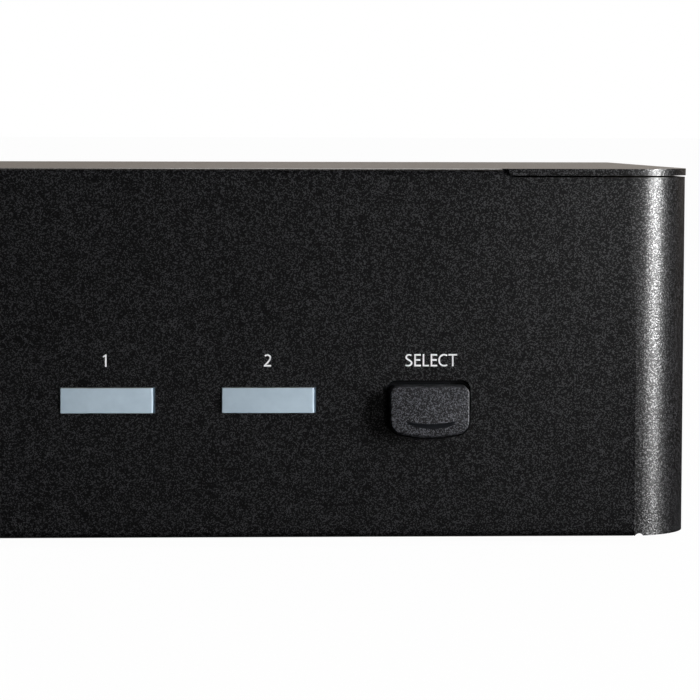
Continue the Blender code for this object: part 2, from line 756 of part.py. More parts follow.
def socket(name, outer, mouths, tongues, material):
    """A socket's shell, with open mouths at the back and a contact tongue standing in each."""
    mouth_y, floor_y = BACK_Y + SOCKET_PROUD, BACK_Y + SOCKET_PROUD - SOCKET_HOLLOW
    shell = extruded(name, outer, mouth_y - SOCKET_DEPTH, mouth_y, "Y", material)
    for number, outline in enumerate(mouths):
        cut(shell, extruded(f"{name}_mouth_{number}", outline, floor_y, mouth_y + OUT, "Y"))
    tip_y = mouth_y - TONGUE_SETBACK
    for number, outline in enumerate(tongues):
        join(shell, extruded(f"{name}_tongue_{number}", outline, floor_y - TONGUE_ROOT, tip_y, "Y"))
    return shell


def panel_hole(name, outline):
    return extruded(f"{name}_opening", outline, PANEL_Y - THROUGH, BACK_Y + OUT, "Y")


def video_socket(name, x):
    z = VIDEO_TOP_Z + GAP + VIDEO_SHELL[1] / 2
    cut_corner = [(1, -1)]
    wall = (VIDEO_SHELL[1] - VIDEO_MOUTH[1]) / 2
    outer = chamfered((x, z), VIDEO_SHELL, VIDEO_CHAMFER + wall, cut_corner)
    mouth = chamfered((x, z), VIDEO_MOUTH, VIDEO_CHAMFER, cut_corner)
    tongue = rectangle((x, z + VIDEO_TONGUE[1] / 2), VIDEO_TONGUE)
    socket(name, outer, [mouth], [tongue], SOCKET_STEEL)
    grown = tuple(side + 2 * GAP for side in VIDEO_SHELL)
    return panel_hole(name, rectangle((x, z), grown))


def usb_b_socket(name, x):
    z = MAIN_TOP_Z + GAP + USB_B_SHELL[1] / 2
    outer = rectangle((x, z), USB_B_SHELL)
    mouth = chamfered((x, z), USB_B_MOUTH, USB_B_CHAMFER, [(-1, 1), (1, 1)])
    tongue = rectangle((x, z), USB_B_TONGUE)
    socket(name, outer, [mouth], [tongue], SOCKET_STEEL)
    return panel_hole(name, rectangle((x, z), tuple(side + 2 * GAP for side in USB_B_SHELL)))


def usb_a_sockets(name, x):
    z = MAIN_TOP_Z + GAP + USB_A_SHELL[1] / 2
    rows = (z - USB_A_PITCH / 2, z + USB_A_PITCH / 2)
    mouths = [rectangle((x, row), USB_A_MOUTH) for row in rows]
    tongue_rise = USB_A_TONGUE[1] / 2
    tongues = [rectangle((x, row + tongue_rise), USB_A_TONGUE) for row in rows]
    socket(name, rectangle((x, z), USB_A_SHELL), mouths, tongues, SOCKET_STEEL)
    return panel_hole(name, rectangle((x, z), tuple(side + 2 * GAP for side in USB_A_SHELL)))


def audio_jacks(name, x):
    """Two jacks, one over the other, in one body whose collars come through the panel."""
    low_z = MAIN_TOP_Z + GAP
    centre_z = low_z + AUDIO_BODY[1] / 2
    body_y = PANEL_Y - GAP
    outline = rectangle((x, centre_z), AUDIO_BODY)
    body = extruded(name, outline, body_y - SOCKET_DEPTH, body_y, "Y", BLACK_PLASTIC)
    rows = (centre_z - AUDIO_PITCH / 2, centre_z + AUDIO_PITCH / 2)
    mouth_y = BACK_Y + AUDIO_PROUD
    collar_length = mouth_y - body_y + SHEET
    collars = [(x, mouth_y - collar_length / 2, row) for row in rows]
    bores = [(x, mouth_y, row) for row in rows]
    join(body, rods(f"{name}_collars", collars, AUDIO_COLLAR, collar_length, "Y"))
    cut(body, rods(f"{name}_bores", bores, AUDIO_BORE, 2 * SOCKET_HOLLOW, "Y", sides=16))
    panel = [(x, BACK_Y, row) for row in rows]
    return rods(f"{name}_opening", panel, AUDIO_COLLAR + GAP, 2 * SHEET + GAP, "Y")


def power_jack(name, x):
    """The supply socket: a round bore with a pin standing in it."""
    z = MAIN_TOP_Z + GAP + POWER_BODY[1] / 2
    mouth_y = BACK_Y + SOCKET_PROUD
    outline = rectangle((x, z), POWER_BODY)
    body = extruded(name, outline, mouth_y - SOCKET_DEPTH, mouth_y, "Y", BLACK_PLASTIC)
    cut(body, rods(f"{name}_bore", [(x, mouth_y, z)], POWER_BORE, 2 * SOCKET_HOLLOW, "Y"))
    pin_length = SOCKET_HOLLOW - TONGUE_SETBACK + TONGUE_ROOT
    pin_y = mouth_y - TONGUE_SETBACK - pin_length / 2
    join(body, rods(f"{name}_pin", [(x, pin_y, z)], POWER_PIN, pin_length, "Y", sides=12))
    return panel_hole(name, rectangle((x, z), tuple(side + 2 * GAP for side in POWER_BODY)))


def rear_sockets(tray):
    video = [
        "pc_1_video_socket_a",
        "pc_1_video_socket_b",
        "pc_2_video_socket_a",
        "pc_2_video_socket_b",
        "monitor_socket_a",
        "monitor_socket_b",
    ]
    lower = [
        ("pc_1_audio_jacks", audio_jacks),
        ("pc_1_usb_socket", usb_b_socket),
        ("pc_2_audio_jacks", audio_jacks),
        ("pc_2_usb_socket", usb_b_socket),
        ("desk_audio_jacks", audio_jacks),
        ("desk_usb_sockets", usb_a_sockets),
        ("power_jack", power_jack),
    ]
    for name, x in zip(video, across(len(video))):
        cut(tray, video_socket(name, x))
    for (name, make), x in zip(lower, across(len(lower))):
        cut(tray, make(name, x))


def heatsink(name, x, y, z):
    width, depth, height = HEATSINK
    low = Vector((x - width / 2, y - depth / 2, z))
    sink = blocks(name, [(low, low + Vector(HEATSINK))], SINK_ALUMINIUM)
    pitch = width / (2 * FIN_COUNT - 1)
    front, back, base, top = low.y - OUT, low.y + depth + OUT, z + HEATSINK_BASE, z + height + OUT
    slots = []
    for i in range(FIN_COUNT - 1):
        left = low.x + (2 * i + 1) * pitch
        slots.append(((left, front, base), (left + pitch, back, top)))
    cut(sink, blocks(f"{name}_slots", slots))


def chip(name, x, y, z, size):
    width, depth, height = size[0] / 2, size[1] / 2, size[2]
    blocks(name, [((x - width, y - depth, z), (x + width, y + depth, z + height))], CHIP_EPOXY)


def components():
    """The chips and what cools them, the supply's capacitor, and the connector between the boards."""
    middle_y = (FRONT_Y + PILLAR_FRONT + BACK_Y - PILLAR_BACK) / 2
    for number, x in enumerate((-CHIP_SPREAD, CHIP_SPREAD), 1):
        chip(f"video_chip_{number}", x, middle_y, VIDEO_TOP_Z + GAP, VIDEO_CHIP)
        heatsink(f"heatsink_{number}", x, middle_y, VIDEO_TOP_Z + 2 * GAP + VIDEO_CHIP[2])
    chip("hub_chip", CHIP_SPREAD, middle_y, MAIN_TOP_Z + GAP, HUB_CHIP)
    can = [
        (0, CAPACITOR_HEIGHT),
        (CAPACITOR_RADIUS, CAPACITOR_HEIGHT),
        (CAPACITOR_RADIUS, 0),
        (0, 0),
    ]
    foot = (CAPACITOR_INSET - SIDE_X, middle_y, MAIN_TOP_Z + GAP)
    smooth(turned("supply_capacitor", can, foot, material=CAN_SLEEVE))
    low_z, high_z = MAIN_TOP_Z + GAP, VIDEO_Z - GAP
    seam_z = (low_z + high_z) / 2
    width, depth = LINK_SIZE[0] / 2, LINK_SIZE[1] / 2
    for name, low, high in (
        ("board_link_plug", low_z, seam_z - GAP / 2),
        ("board_link_receptacle", seam_z + GAP / 2, high_z),
    ):
        blocks(
            name, [((-width, middle_y - depth, low), (width, middle_y + depth, high))], BLACK_PLASTIC
        )


def main():
    cover()
    tray = base_tray()
    feet()
    cover_screws()
    windows()
    select_button()
    front_board()
    boards()
    rear_sockets(tray)
    components()


main()
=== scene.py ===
"""Looks of the two-computer KVM switch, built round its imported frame.

Metres, +Z up, the front facing -Y. The cover, controls, feet and fasteners are shown by finer pieces made
here; the sockets, boards and everything inside are the frame's own solids with their materials.
"""

import json
import math

import bmesh
import bpy
from mathutils import Matrix, Vector


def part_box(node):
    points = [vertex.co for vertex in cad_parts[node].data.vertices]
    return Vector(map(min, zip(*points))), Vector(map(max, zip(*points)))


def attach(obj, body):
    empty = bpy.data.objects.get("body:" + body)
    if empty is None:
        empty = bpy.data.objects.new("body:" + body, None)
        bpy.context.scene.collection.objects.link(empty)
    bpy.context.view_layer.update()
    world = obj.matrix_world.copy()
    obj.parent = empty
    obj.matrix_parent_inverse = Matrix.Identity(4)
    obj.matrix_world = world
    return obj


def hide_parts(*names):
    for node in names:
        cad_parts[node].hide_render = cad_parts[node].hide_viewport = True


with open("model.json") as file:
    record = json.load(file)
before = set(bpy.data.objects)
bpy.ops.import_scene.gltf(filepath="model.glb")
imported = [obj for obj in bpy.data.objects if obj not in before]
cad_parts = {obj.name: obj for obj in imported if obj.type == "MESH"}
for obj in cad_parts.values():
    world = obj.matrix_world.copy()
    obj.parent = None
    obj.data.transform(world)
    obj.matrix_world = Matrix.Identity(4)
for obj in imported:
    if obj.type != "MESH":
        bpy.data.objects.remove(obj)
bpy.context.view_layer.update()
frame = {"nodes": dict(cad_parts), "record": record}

MM = 0.001
NODES = frame["nodes"]

# Sheet metal, as in the frame
SHEET = 1.2 * MM
OVERHANG = 0.15 * MM
SLIT = 0.3 * MM
SLIT_REACH = 34 * MM
SLIT_SLANT = 1.9 * MM
CORNER_RADIUS = 11.6 * MM
BEND_RADIUS = 1.5 * MM
FLANGE_DEPTH = 12 * MM
FLANGE_END = 10.1 * MM
FLANGE_DROP = 0.15 * MM
RELIEF_WIDTH = 1.8 * MM
RELIEF_HEIGHT = 0.42 * MM
SHEET_EDGE = 0.12 * MM

cover_low, cover_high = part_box("cover")
SIDE = cover_high.x - OVERHANG
FRONT = cover_low.y + OVERHANG
BACK = cover_high.y
BOTTOM = cover_low.z
TOP = cover_high.z
CEILING = TOP - SHEET
WALL_TOP = CEILING - SLIT
FLANGE_LOW = BOTTOM - FLANGE_DROP


# ---------------------------------------------------------------------------------------------- materials


def material(name):
    made = bpy.data.materials.new(name)
    made.use_nodes = True
    tree = made.node_tree
    return made, tree, tree.nodes["Principled BSDF"]


def node(tree, kind, **values):
    made = tree.nodes.new(kind)
    for key, value in values.items():
        if key in made.inputs:
            made.inputs[key].default_value = value
        else:
            setattr(made, key, value)
    return made


def ramp(tree, source, stops):
    made = tree.nodes.new("ShaderNodeValToRGB")
    elements = made.color_ramp.elements
    while len(elements) < len(stops):
        elements.new(0.5)
    for element, (position, color) in zip(elements, stops):
        element.position = position
        element.color = (*color, 1) if len(color) == 3 else (color[0],) * 3 + (1,)
    tree.links.new(source, made.inputs["Fac"])
    return made.outputs["Color"]


def noise(tree, scale, detail=2.0, roughness=0.6):
    where = tree.nodes.new("ShaderNodeTexCoord")
    made = node(tree, "ShaderNodeTexNoise", Scale=scale, Detail=detail, Roughness=roughness)
    tree.links.new(where.outputs["Object"], made.inputs["Vector"])
    return made.outputs["Fac"]


def bump(tree, shader, height, depth):
    made = node(tree, "ShaderNodeBump", Strength=1.0, Distance=depth)
    tree.links.new(height, made.inputs["Height"])
    tree.links.new(made.outputs["Normal"], shader.inputs["Normal"])


def grained(name, dark, light, roughness, grain, depth, metallic=0.0, mottle=0.1):
    """A fine all-over grain: colour, gloss and height all follow it."""
    made, tree, shader = material(name)
    shader.inputs["Metallic"].default_value = metallic
    fine = noise(tree, 1 / grain, 2.5, 0.65)
    tree.links.new(ramp(tree, fine, [(0.38, dark), (0.66, light)]), shader.inputs["Base Color"])
    broad = noise(tree, 0.12 / grain, 2.0, 0.5)
    low, high = roughness - mottle, roughness + mottle
    tree.links.new(ramp(tree, broad, [(0.3, (low,)), (0.7, (high,))]), shader.inputs["Roughness"])
    bump(tree, shader, fine, depth)
    return made


def speckle(tree, cell, dark, light, share):
    """Cells of grain, the given share of them light and the rest dark."""
    where = tree.nodes.new("ShaderNodeTexCoord")
    cells = node(tree, "ShaderNodeTexVoronoi", Scale=1 / cell)
    tree.links.new(where.outputs["Object"], cells.inputs["Vector"])
    apart = tree.nodes.new("ShaderNodeSeparateColor")
    tree.links.new(cells.outputs["Color"], apart.inputs["Color"])
    edge = 1 - share
    return ramp(tree, apart.outputs["Red"], [(edge - 0.06, dark), (edge + 0.06, light)])


COAT_GRAIN = 0.17 * MM
COAT_SHARE = 0.27
COAT_WAVE = 0.29 * MM
COAT_DEPTH = 0.025 * MM
CAP_GRAIN = 0.155 * MM
CAP_WAVE = 0.28 * MM
CAP_DEPTH = 0.06 * MM


def powder_coat():
    """Black powder coat: scattered grains, paler and shinier than the rest, on a slight bump."""
    made, tree, shader = material("powder_coat")
    shader.inputs["Roughness"].default_value = 0.3
    grains = speckle(tree, COAT_GRAIN, (0.0004, 0.0004, 0.0006), (0.037, 0.037, 0.04), COAT_SHARE)
    tree.links.new(grains, shader.inputs["Base Color"])
    glints = speckle(tree, COAT_GRAIN, (0.5, 0.5, 0.5), (1.5, 1.5, 1.5), COAT_SHARE)
    tree.links.new(glints, shader.inputs["Specular IOR Level"])
    bump(tree, shader, noise(tree, 1 / COAT_WAVE, 0.0), COAT_DEPTH)
    return made


def cap_grain():
    """Moulded black plastic with an even spark-eroded texture."""
    made, tree, shader = material("cap_plastic")
    shader.inputs["Roughness"].default_value = 0.42
    grains = speckle(tree, CAP_GRAIN, (0.006, 0.006, 0.0075), (0.115, 0.118, 0.132), 0.32)
    tree.links.new(grains, shader.inputs["Base Color"])
    bump(tree, shader, noise(tree, 1 / CAP_WAVE, 0.0), CAP_DEPTH)
    return made


def lens_plastic():
    """Milky light guide, its faces turned upwards painted darker and warmer as painted shade."""
    made, tree, shader = material("lens_plastic")
    shader.inputs["Roughness"].default_value = 0.38
    body = ramp(tree, noise(tree, 1 / (2.4 * MM)), [(0.3, (0.42, 0.52, 0.605)), (0.7, (0.465, 0.57, 0.655))])
    # Painted shade: the height of the object-space normal darkens and warms the faces turned upwards, along
    # the lens's upper edge.
    where = tree.nodes.new("ShaderNodeTexCoord")
    apart = tree.nodes.new("ShaderNodeSeparateXYZ")
    tree.links.new(where.outputs["Normal"], apart.inputs["Vector"])
    edge = ramp(tree, apart.outputs["Z"], [(0.12, (1, 1, 1)), (0.5, (0.3, 0.26, 0.22))])
    mix = node(tree, "ShaderNodeMix", data_type="RGBA", blend_type="MULTIPLY")
    mix.inputs["Factor"].default_value = 1
    tree.links.new(body, mix.inputs[6])
    tree.links.new(edge, mix.inputs[7])
    tree.links.new(mix.outputs[2], shader.inputs["Base Color"])
    return made


COAT = powder_coat()
CAP_PLASTIC = cap_grain()
SMOOTH = {"grain": 1.5 * MM, "depth": 0.002 * MM, "mottle": 0.03}
# The lip's plastic: the cap's black made smooth and much darker. The darkness is painted shade for the gap
# round the cap.
SMOOTH_SHADED_LIP = grained("cap_lip_smooth_painted_shade", (0.005, 0.0055, 0.0065), (0.008, 0.009, 0.0105), 0.25, **SMOOTH)
RIDGE_SMOOTH = grained("ridge_plastic", (0.0085, 0.0095, 0.0115), (0.012, 0.0135, 0.0165), 0.28, **SMOOTH)
LENS = lens_plastic()
INK = grained("white_ink", (0.84, 0.84, 0.85), (0.92, 0.92, 0.93), 0.55, 0.3 * MM, 0.002 * MM)
RUBBER = grained("foot_rubber", (0.01, 0.01, 0.01), (0.02, 0.02, 0.02), 0.8, 0.3 * MM, 0.02 * MM)
DARK_STEEL = grained("black_steel", (0.03, 0.03, 0.032), (0.06, 0.06, 0.062), 0.35, 0.5 * MM, 0.004 * MM, 1.0)
BRASS = grained("turned_brass", (0.5, 0.38, 0.18), (0.62, 0.48, 0.24), 0.35, 0.6 * MM, 0.004 * MM, 1.0)
NICKEL = grained("nickel_plate", (0.42, 0.42, 0.41), (0.52, 0.52, 0.51), 0.3, 1.2 * MM, 0.003 * MM, 1.0)
BOARD_GREEN = grained("solder_resist", (0.008, 0.07, 0.03), (0.012, 0.11, 0.045), 0.35, 1.6 * MM, 0.01 * MM)
LED_CLEAR = grained("led_epoxy", (0.7, 0.72, 0.68), (0.8, 0.82, 0.78), 0.2, 1 * MM, 0.002 * MM)
NYLON = grained("black_nylon", (0.008, 0.008, 0.008), (0.016, 0.016, 0.016), 0.45, 0.4 * MM, 0.008 * MM)
RIBBON = grained("ribbon_vinyl", (0.3, 0.31, 0.33), (0.36, 0.37, 0.39), 0.5, 0.8 * MM, 0.01 * MM)
CHIP = grained("chip_epoxy", (0.014, 0.014, 0.015), (0.022, 0.022, 0.023), 0.5, 0.25 * MM, 0.008 * MM)
ALUMINIUM = grained("clear_anodised", (0.5, 0.51, 0.53), (0.6, 0.61, 0.63), 0.38, 0.7 * MM, 0.004 * MM, 1.0)
SLEEVE = grained("can_sleeve", (0.02, 0.025, 0.06), (0.03, 0.035, 0.08), 0.3, 1 * MM, 0.004 * MM)

SLOTS = {
    "case_paint": COAT,
    "foot_rubber": RUBBER,
    "screw_steel": DARK_STEEL,
    "spacer_brass": BRASS,
    "button_plastic": CAP_PLASTIC,
    "window_plastic": LENS,
    "circuit_board": BOARD_GREEN,
    "led_epoxy": LED_CLEAR,
    "black_plastic": NYLON,
    "ribbon_grey": RIBBON,
    "socket_steel": NICKEL,
    "chip_epoxy": CHIP,
    "sink_aluminium": ALUMINIUM,
    "can_sleeve": SLEEVE,
}

SLOT_OF = {row["node"]: row["material_slot"] for row in frame["record"]["subparts"]}
for name, obj in NODES.items():
    obj.data.materials.clear()
    obj.data.materials.append(SLOTS[SLOT_OF[name]])


# ------------------------------------------------------------------------------------------- shape helpers


def add(name, mesh, finish=None):
    obj = bpy.data.objects.new(name, mesh)
    bpy.context.scene.collection.objects.link(obj)
    if finish:
        mesh.materials.clear()
        mesh.materials.append(finish)
    return obj


def mesh_of(form, name):
    mesh = bpy.data.meshes.new(name)
    form.to_mesh(mesh)
    form.free()
    return mesh


def rounded(corners, steps=12):
    """The points of a closed outline whose corners, each (x, y, radius), are rounded by arcs."""
    points = []
    for index, (x, y, radius) in enumerate(corners):
        corner = Vector((x, y))
        if not radius:
            points.append(corner)
            continue
        before = (Vector(corners[index - 1][:2]) - corner).normalized()
        after = (Vector(corners[(index + 1) % len(corners)][:2]) - corner).normalized()
        half = before.angle(after) / 2
        centre = corner + (before + after).normalized() * (radius / math.sin(half))
        first = corner + before * (radius / math.tan(half)) - centre
        last = corner + after * (radius / math.tan(half)) - centre
        start = math.atan2(first.y, first.x)
        sweep = (math.atan2(last.y, last.x) - start + math.pi) % math.tau - math.pi
        for step in range(steps + 1):
            angle = start + sweep * step / steps
            points.append(centre + Vector((math.cos(angle), math.sin(angle))) * radius)
    return [point for i, point in enumerate(points) if (point - points[i - 1]).length > 0.0005 * MM]


def prism(name, outline, low, high, axis, finish=None):
    """A flat outline drawn out along an axis. It lies in XY along Z, in XZ along Y and in YZ along X."""
    to_world = {
        "Z": lambda p, a: (p.x, p.y, a),
        "Y": lambda p, a: (p.x, a, p.y),
        "X": lambda p, a: (a, p.x, p.y),
    }[axis]
    form = bmesh.new()
    face = form.faces.new([form.verts.new(to_world(point, low)) for point in outline])
    drawn = bmesh.ops.extrude_face_region(form, geom=[face])["geom"]
    shift = Vector(to_world(Vector((0, 0)), high - low))
    bmesh.ops.translate(form, vec=shift, verts=[v for v in drawn if isinstance(v, bmesh.types.BMVert)])
    bmesh.ops.recalc_face_normals(form, faces=form.faces)
    return add(name, mesh_of(form, name), finish)


def blocks(name, boxes, finish=None):
    form = bmesh.new()
    for low, high in boxes:
        low, high = Vector(low), Vector(high)
        place = Matrix.Translation((low + high) / 2) @ Matrix.Diagonal((*(high - low), 1))
        bmesh.ops.create_cube(form, size=1, matrix=place)
    return add(name, mesh_of(form, name), finish)


ROD_SIDES = 32


def rods(name, centres, radius, length, axis, finish=None):
    form = bmesh.new()
    shape = {"segments": ROD_SIDES, "radius1": radius, "radius2": radius, "depth": length}
    turn = Matrix.Rotation(math.pi / 2, 4, {"X": "Y", "Y": "X", "Z": "Z"}[axis])
    for centre in centres:
        place = Matrix.Translation(centre) @ turn
        bmesh.ops.create_cone(form, cap_ends=True, matrix=place, **shape)
    return add(name, mesh_of(form, name), finish)


def combine(target, operation, *helpers):
    for helper in helpers:
        boolean = target.modifiers.new(helper.name, "BOOLEAN")
        boolean.operation = operation
        boolean.object = helper


def settle(obj, *spent):
    """Applies an object's modifiers and removes the helpers that shaped it."""
    evaluated = obj.evaluated_get(bpy.context.evaluated_depsgraph_get())
    mesh = bpy.data.meshes.new_from_object(evaluated)
    obj.modifiers.clear()
    obj.data = mesh
    for helper in spent:
        bpy.data.objects.remove(helper)
    return obj


def soften(obj, width, segments=2):
    """Rounds every sharp edge a little and shades the rest smooth."""
    bevel = obj.modifiers.new("edges", "BEVEL")
    bevel.width = width
    bevel.segments = segments
    bevel.limit_method = "ANGLE"
    bevel.angle_limit = math.radians(35)
    bevel.use_clamp_overlap = True
    bevel.harden_normals = True
    obj.data.shade_smooth()
    return settle(obj)


# --------------------------------------------------------------------------------------------- the cover

OUT = 5 * MM

WINDOWS = [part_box(f"indicator_window_{number}") for number in (1, 2)]
WINDOW_LIP = 1.5 * MM
WINDOW_GAP = 0.07 * MM
LENS_LEFT = 0.1 * MM
LENS_GROW = 0.06 * MM
SHOULDER_GAP = 0.35 * MM
SHOULDER_SETBACK = 0.25 * MM

CAP_LIP = 2.6 * MM
CAP_GAP = 0.6 * MM
CAP_BELLY = 0.7 * MM
CAP_SHOULDER = 1.1 * MM
CAP_HEEL = 2.2 * MM
CAP_DROP = 9 * MM
cap_low, cap_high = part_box("select_button")
CAP_X = (cap_low.x + cap_high.x) / 2
CAP_HALF = (cap_high.x - cap_low.x) / 2 - CAP_LIP
CAP_TOP = cap_high.z - CAP_LIP
CAP_FACE = cap_low.y

VENT_COUNT = 9
VENT_WIDTH = 2.4 * MM
VENT_LENGTH = 22 * MM
VENT_PITCH = 6 * MM
VENT_HEIGHT = 40 * MM
SCREW_HOLE = 1.55 * MM
SCREWS = [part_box(f"cover_screw_{number}") for number in (1, 2, 3, 4)]


def plan(inset, back):
    x, y, radius = SIDE - inset, FRONT + inset, CORNER_RADIUS - inset
    return rounded([(-x, y, radius), (x, y, radius), (x, back, 0), (-x, back, 0)], steps=24)


def bend_waste(name, reach, slant, edge_z, up):
    """What the bend takes off the front's edge, its ends slanting inwards towards the wall."""
    inner = edge_z - up * BEND_RADIUS
    outline = rounded(
        [
            (FRONT - OUT, edge_z + up * OUT, 0),
            (FRONT - OUT, inner, 0),
            (FRONT, inner, 0),
            (FRONT, edge_z, BEND_RADIUS),
            (FRONT + BEND_RADIUS, edge_z, 0),
            (FRONT + BEND_RADIUS, edge_z + up * OUT, 0),
        ],
        steps=10,
    )
    waste = prism(name, outline, -reach, reach, "X")
    for vertex in waste.data.vertices:
        share = min(1, max(0, (edge_z - vertex.co.z) * up / BEND_RADIUS))
        vertex.co.x += math.copysign(slant * share, vertex.co.x)
    return waste


def cap_outline(grow, brow=0):
    """The cap's outline grown all round, its top then lowered by the brow."""
    low, top = CAP_TOP - CAP_DROP, CAP_TOP - brow + grow
    corners = [
        (-CAP_HALF - grow, top, CAP_SHOULDER + grow),
        (-CAP_HALF - grow, low + CAP_BELLY - grow, CAP_HEEL + grow),
        (0, low - CAP_BELLY - grow, (CAP_HALF - CAP_HEEL) * CAP_HALF / (2 * CAP_BELLY)),
        (CAP_HALF + grow, low + CAP_BELLY - grow, CAP_HEEL + grow),
        (CAP_HALF + grow, top, CAP_SHOULDER + grow),
    ]
    return [Vector((CAP_X, 0)) + point for point in rounded(corners, steps=10)]


def side_vents():
    middle, height = (FRONT + BACK) / 2, BOTTOM + VENT_HEIGHT
    boxes = []
    for i in range(VENT_COUNT):
        y = middle + (i - (VENT_COUNT - 1) / 2) * VENT_PITCH
        low = (-SIDE - OUT, y - VENT_WIDTH / 2, height - VENT_LENGTH / 2)
        boxes.append((low, (SIDE + OUT, y + VENT_WIDTH / 2, height + VENT_LENGTH / 2)))
    return blocks("vents", boxes)


def cover_shell():
    body = prism("cover_shell", plan(0, BACK), FLANGE_LOW, TOP - SHEET / 2, "Z", COAT)
    lid = prism("lid", plan(-OVERHANG, BACK), CEILING, TOP, "Z")
    hollow = prism("hollow", plan(SHEET, BACK + OUT), BOTTOM - OUT, CEILING, "Z")
    flange_x = SIDE - FLANGE_END
    flange_low = (-flange_x, FRONT + SHEET / 2, FLANGE_LOW)
    flange = blocks("flange", [(flange_low, (flange_x, FRONT + FLANGE_DEPTH, FLANGE_LOW + SHEET))])
    trims = blocks(
        "corner_trims",
        [
            ((flange_x, FRONT - OUT, BOTTOM - OUT), (SIDE + OUT, BACK + OUT, BOTTOM)),
            ((-SIDE - OUT, FRONT - OUT, BOTTOM - OUT), (-flange_x, BACK + OUT, BOTTOM)),
        ],
    )
    slit_x = SIDE - SLIT_REACH
    slit_low = slit_x + SLIT_SLANT
    slits = blocks(
        "slits",
        [
            ((slit_low, FRONT - OUT, WALL_TOP), (SIDE + OUT, BACK + OUT, CEILING)),
            ((-SIDE - OUT, FRONT - OUT, WALL_TOP), (-slit_low, BACK + OUT, CEILING)),
        ],
    )
    relief_x = flange_x + RELIEF_WIDTH / 2
    places = [(side * relief_x, FRONT, BOTTOM + RELIEF_HEIGHT - RELIEF_WIDTH / 2) for side in (-1, 1)]
    reliefs = rods("reliefs", places, RELIEF_WIDTH / 2, 8 * SHEET, "Y")
    reach = WINDOW_LIP - WINDOW_GAP
    windows = blocks(
        "window_holes",
        [
            (
                (low.x + reach - LENS_LEFT, FRONT - OUT, low.z + reach - LENS_GROW),
                (high.x - reach + SHOULDER_GAP, FRONT + 2 * SHEET, high.z - reach + LENS_GROW),
            )
            for low, high in WINDOWS
        ],
    )
    cap_hole = prism("cap_hole", cap_outline(CAP_GAP), FRONT - OUT, FRONT + 2 * SHEET, "Y")
    middles = [(low + high) / 2 for low, high in SCREWS]
    screw_holes = rods("screw_holes", [Vector((0, m.y, m.z)) for m in middles[2:]], SCREW_HOLE, 1, "X")
    vents = side_vents()
    upper = bend_waste("upper_bend", slit_x, SLIT_SLANT, TOP, 1)
    lower = bend_waste("lower_bend", flange_x, 0, FLANGE_LOW, -1)
    combine(body, "UNION", lid)
    combine(body, "DIFFERENCE", hollow)
    combine(body, "UNION", flange)
    helpers = (trims, slits, reliefs, windows, cap_hole, screw_holes, vents, upper, lower)
    combine(body, "DIFFERENCE", *helpers)
    settle(body, lid, hollow, flange, *helpers)
    soften(body, SHEET_EDGE)
    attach(body, "case")
    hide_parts("cover")


# ------------------------------------------------------------------------------------------- the controls

LIP_THICKNESS = 1.2 * MM
LIP_GAP = 0.3 * MM
CAP_ROOT = 0.9 * MM
LENS_EDGE = 0.33 * MM
RIDGE_HALF = 4.3 * MM
RIDGE_SHIFT = 0.2 * MM
RIDGE_TOP = 6.85 * MM
RIDGE_SAG = 0.5 * MM
RIDGE_TALL = 0.9 * MM
RIDGE_PROUD = 0.22 * MM
RIDGE_CREST = 0.16 * MM
RIDGE_FLAT = 0.08 * MM
RIDGE_ROOT = 0.2 * MM
RIDGE_LEAST = 0.1
RIDGE_RIGHT_END = 0.13
RIDGE_LEFT_END = 0.4
RIDGE_STATIONS = 48
CAP_ROUND = 0.35 * MM
CAP_CHIN = 0.35 * MM
CHIN_FALL = 0.8
CAP_GROW = 0.12 * MM
CAP_BROW = 0.45 * MM
CAP_RINGS = 6


def light_guides():
    for number, (low, high) in enumerate(WINDOWS, 1):
        name = f"window_lens_{number}"
        lip_y = high.y
        inner_low, inner_high = low.x + WINDOW_LIP - LENS_LEFT, high.x - WINDOW_LIP
        front_z, top_z = low.z + WINDOW_LIP - LENS_GROW, high.z - WINDOW_LIP + LENS_GROW
        back = FRONT + SHEET + LIP_THICKNESS
        corners = [(inner_low, low.y, LENS_EDGE / 3), (inner_high, low.y, LENS_EDGE), (inner_high, back, 0)]
        outline = rounded([*corners, (inner_low, back, 0)], steps=6)
        lens = soften(prism(name, outline, front_z, top_z, "Z", LENS), LENS_EDGE / 2, 3)
        shoulder_low = (inner_high, FRONT + SHOULDER_SETBACK, front_z)
        shoulder_high = (inner_high + SHOULDER_GAP, FRONT + SHEET + LIP_THICKNESS, top_z)
        shoulder = blocks(f"{name}_shoulder", [(shoulder_low, shoulder_high)], LENS)
        lip_low = (low.x, FRONT + SHEET + LIP_GAP, low.z)
        lip = blocks(f"{name}_lip", [(lip_low, (high.x, lip_low[1] + LIP_THICKNESS, high.z))], LENS)
        led_low, led_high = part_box(f"led_{number}")
        stem_low = (led_low.x, lip_low[1], led_low.z)
        stem = blocks(f"{name}_stem", [(stem_low, (led_high.x, lip_y, led_high.z))], LENS)
        for piece in (lens, shoulder, lip, stem):
            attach(piece, "case")
        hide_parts(f"indicator_window_{number}")


